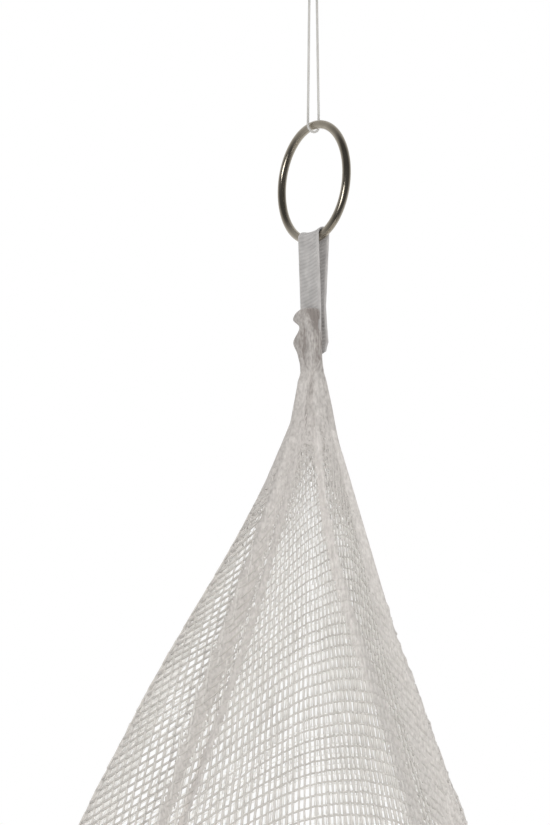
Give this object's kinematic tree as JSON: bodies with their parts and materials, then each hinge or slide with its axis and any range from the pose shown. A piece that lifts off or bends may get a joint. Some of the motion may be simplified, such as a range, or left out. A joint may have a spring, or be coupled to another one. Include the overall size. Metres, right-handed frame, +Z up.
{
  "type": "mosquito net canopy with hanging ring",
  "caption": "Folded cone of mosquito net, hung from one point by a string, a metal ring and a tape loop.",
  "frame": {"origin": "the point inside the string's loop where a hook carries the canopy", "axes": "+Z up along the hanging line, -Y towards the viewer of the picture, +X to the viewer's right"},
  "size_m": [1.6973, 1.7305, 2.1349],
  "materials": {
    "net": "sheer warp-knit mesh, warm off-white, matt",
    "tape": "ribbed grosgrain tape, pale grey",
    "ring": "polished nickel-plated steel wire",
    "string": "fine twisted off-white string"
  },
  "bodies": {
    "root": {"net": "net", "tape": "tape", "ring": "ring", "string": "string", "knot": "string"}
  },
  "joints": []
}
